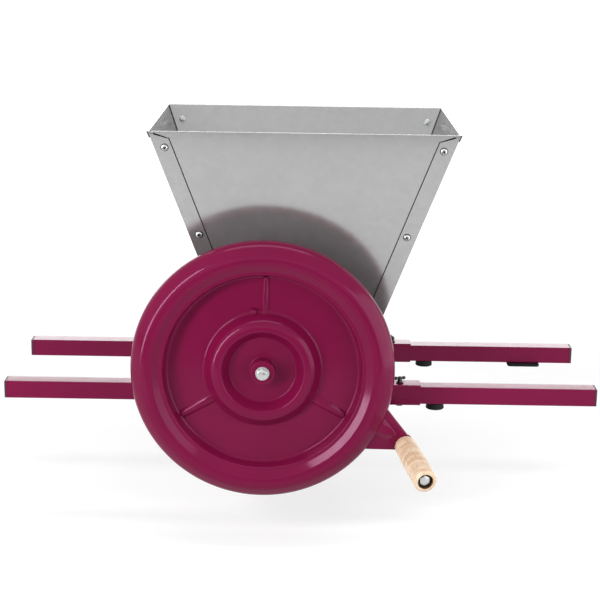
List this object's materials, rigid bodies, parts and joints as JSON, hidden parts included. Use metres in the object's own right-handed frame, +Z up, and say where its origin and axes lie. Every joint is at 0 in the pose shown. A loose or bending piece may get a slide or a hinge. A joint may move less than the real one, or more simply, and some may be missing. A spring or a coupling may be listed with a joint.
{
  "type": "apple scratter",
  "caption": "Hand-cranked fruit crusher: a flared sheet hopper over a toothed drum, a pressed flywheel with a wooden crank grip, and sliding square arms that rest on a tub.",
  "frame": {"origin": "middle of the plane of the four feet, which rests on the tub's rim", "axes": "+X to the right along the carrying arms, +Y away from the flywheel, +Z up"},
  "size_m": [0.841, 0.4367, 0.5065],
  "materials": {
    "wine_red_enamel": "glossy enamel",
    "galvanized_sheet": "fine satin sheet",
    "zinc_plated_steel": "bright zinc",
    "dark_steel": "dark bright steel",
    "stainless_steel": "brushed",
    "cast_aluminium": "as cast",
    "cap_plastic": "fine moulded texture",
    "bearing_plastic": "smooth moulded",
    "foot_rubber": "matt",
    "turned_beech": "fine sanded, bare"
  },
  "bodies": {
    "crusher_frame": {"front_sleeve": "wine_red_enamel", "rear_sleeve": "wine_red_enamel", "housing_front_cheek": "wine_red_enamel", "housing_rear_cheek": "wine_red_enamel", "housing_left_plate": "wine_red_enamel", "housing_right_plate": "wine_red_enamel", "front_bearing": "bearing_plastic", "rear_bearing": "bearing_plastic", "pressure_plate": "stainless_steel", "pressure_plate_bolt_1": "zinc_plated_steel", "pressure_plate_bolt_2": "zinc_plated_steel", "hopper_front_panel": "galvanized_sheet", "hopper_back_panel": "galvanized_sheet", "hopper_left_panel": "galvanized_sheet", "hopper_right_panel": "galvanized_sheet", "hopper_screw_front_left_1": "zinc_plated_steel", "hopper_screw_front_left_2": "zinc_plated_steel", "hopper_screw_front_right_1": "zinc_plated_steel", "hopper_screw_front_right_2": "zinc_plated_steel", "hopper_screw_back_left_1": "zinc_plated_steel", "hopper_screw_back_left_2": "zinc_plated_steel", "hopper_screw_back_right_1": "zinc_plated_steel", "hopper_screw_back_right_2": "zinc_plated_steel"},
    "crank_rotor": {"shaft": "stainless_steel", "shaft_spacer": "zinc_plated_steel", "shaft_collar": "zinc_plated_steel", "drum_core": "cast_aluminium", "drum_pin": "dark_steel", "drum_blade_1": "stainless_steel", "drum_blade_2": "stainless_steel", "drum_blade_3": "stainless_steel", "drum_blade_4": "stainless_steel", "drum_blade_5": "stainless_steel", "drum_blade_6": "stainless_steel", "flywheel": "wine_red_enamel", "flywheel_key": "dark_steel", "hub_washer": "zinc_plated_steel", "hub_bolt": "zinc_plated_steel", "grip_bolt": "zinc_plated_steel", "grip_nut": "zinc_plated_steel"},
    "handle_grip": {"crank_grip": "turned_beech"},
    "front_left_carrier": {"front_left_arm": "wine_red_enamel", "front_left_end_cap": "cap_plastic", "front_left_foot": "foot_rubber"},
    "front_left_clamp": {"front_left_clamp_bolt": "dark_steel"},
    "front_right_carrier": {"front_right_arm": "wine_red_enamel", "front_right_end_cap": "cap_plastic", "front_right_foot": "foot_rubber"},
    "front_right_clamp": {"front_right_clamp_bolt": "dark_steel"},
    "rear_left_carrier": {"rear_left_arm": "wine_red_enamel", "rear_left_end_cap": "cap_plastic", "rear_left_foot": "foot_rubber"},
    "rear_left_clamp": {"rear_left_clamp_bolt": "dark_steel"},
    "rear_right_carrier": {"rear_right_arm": "wine_red_enamel", "rear_right_end_cap": "cap_plastic", "rear_right_foot": "foot_rubber", "rear_right_pad": "foot_rubber"},
    "rear_right_clamp": {"rear_right_clamp_bolt": "dark_steel"}
  },
  "joints": [
    {"name": "crank_turn", "type": "hinge", "parent": "crusher_frame", "child": "crank_rotor", "pos_m": [-0.0525, 0, 0.0725], "axis": [0, 1, 0], "continuous": true},
    {"name": "grip_spin", "type": "hinge", "parent": "crank_rotor", "child": "handle_grip", "pos_m": [0.14675, -0.17128, -0.03479], "axis": [0.1831, -0.9781, -0.0986], "continuous": true},
    {"name": "front_left_arm_slide", "type": "slide", "parent": "crusher_frame", "child": "front_left_carrier", "axis": [-1, 0, 0], "range_m": [-0.008, 0.06]},
    {"name": "front_right_arm_slide", "type": "slide", "parent": "crusher_frame", "child": "front_right_carrier", "axis": [1, 0, 0], "range_m": [-0.008, 0.06]},
    {"name": "rear_left_arm_slide", "type": "slide", "parent": "crusher_frame", "child": "rear_left_carrier", "axis": [-1, 0, 0], "range_m": [-0.008, 0.06]},
    {"name": "rear_right_arm_slide", "type": "slide", "parent": "crusher_frame", "child": "rear_right_carrier", "axis": [1, 0, 0], "range_m": [-0.008, 0.06]},
    {"name": "front_left_clamp_turn", "type": "hinge", "parent": "crusher_frame", "child": "front_left_clamp", "pos_m": [-0.141, -0.107, 0.043], "axis": [0, 0, 1], "range_deg": [0, 360]},
    {"name": "front_right_clamp_turn", "type": "hinge", "parent": "crusher_frame", "child": "front_right_clamp", "pos_m": [0.141, -0.107, 0.043], "axis": [0, 0, 1], "range_deg": [0, 360]},
    {"name": "rear_left_clamp_turn", "type": "hinge", "parent": "crusher_frame", "child": "rear_left_clamp", "pos_m": [-0.141, 0.107, 0.043], "axis": [0, 0, 1], "range_deg": [0, 360]},
    {"name": "rear_right_clamp_turn", "type": "hinge", "parent": "crusher_frame", "child": "rear_right_clamp", "pos_m": [0.141, 0.107, 0.043], "axis": [0, 0, 1], "range_deg": [0, 360]}
  ]
}
